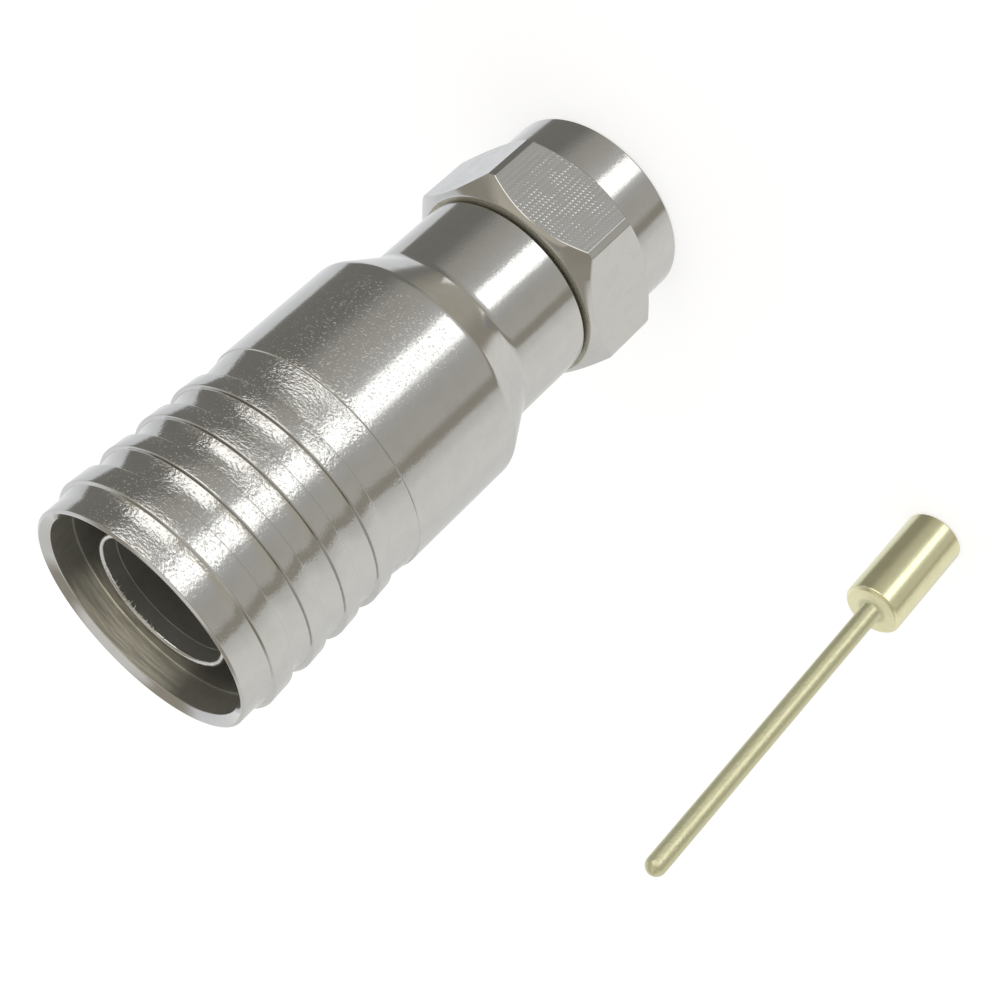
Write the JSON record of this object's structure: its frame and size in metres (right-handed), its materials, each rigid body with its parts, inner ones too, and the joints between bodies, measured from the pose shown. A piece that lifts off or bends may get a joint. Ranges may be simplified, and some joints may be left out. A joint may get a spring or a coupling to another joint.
{
  "type": "f crimp connector",
  "caption": "Crimp-on F coaxial connector: ribbed crimp sleeve over a thin inner post, free-turning hexagon coupling nut with a threaded port, and a loose gold-plated centre pin.",
  "frame": {"origin": "on the connector's axis, in the plane of the coupling nut's front face, which it stands on", "axes": "+Z along the axis from the nut to the cable mouth, +X through a corner of the nut's hexagon, away from the loose pin"},
  "size_m": [0.0324, 0.0134, 0.0331],
  "materials": {
    "nickel": "turned brass with bright, slightly pitted nickel plating",
    "gold": "turned brass with thin, pale gold plating"
  },
  "bodies": {
    "connector": {"crimp_body": "nickel", "inner_post": "nickel"},
    "nut": {"coupling_nut": "nickel"},
    "pin": {"centre_pin": "gold"}
  },
  "joints": [
    {"name": "nut_spin", "type": "hinge", "parent": "connector", "child": "nut", "pos_m": [0, 0, 0.0035], "axis": [0, 0, 1], "continuous": true},
    {"name": "pin_lift", "type": "slide", "parent": "connector", "child": "pin", "axis": [0, 0, 1], "range_m": [0, 0.035]}
  ]
}
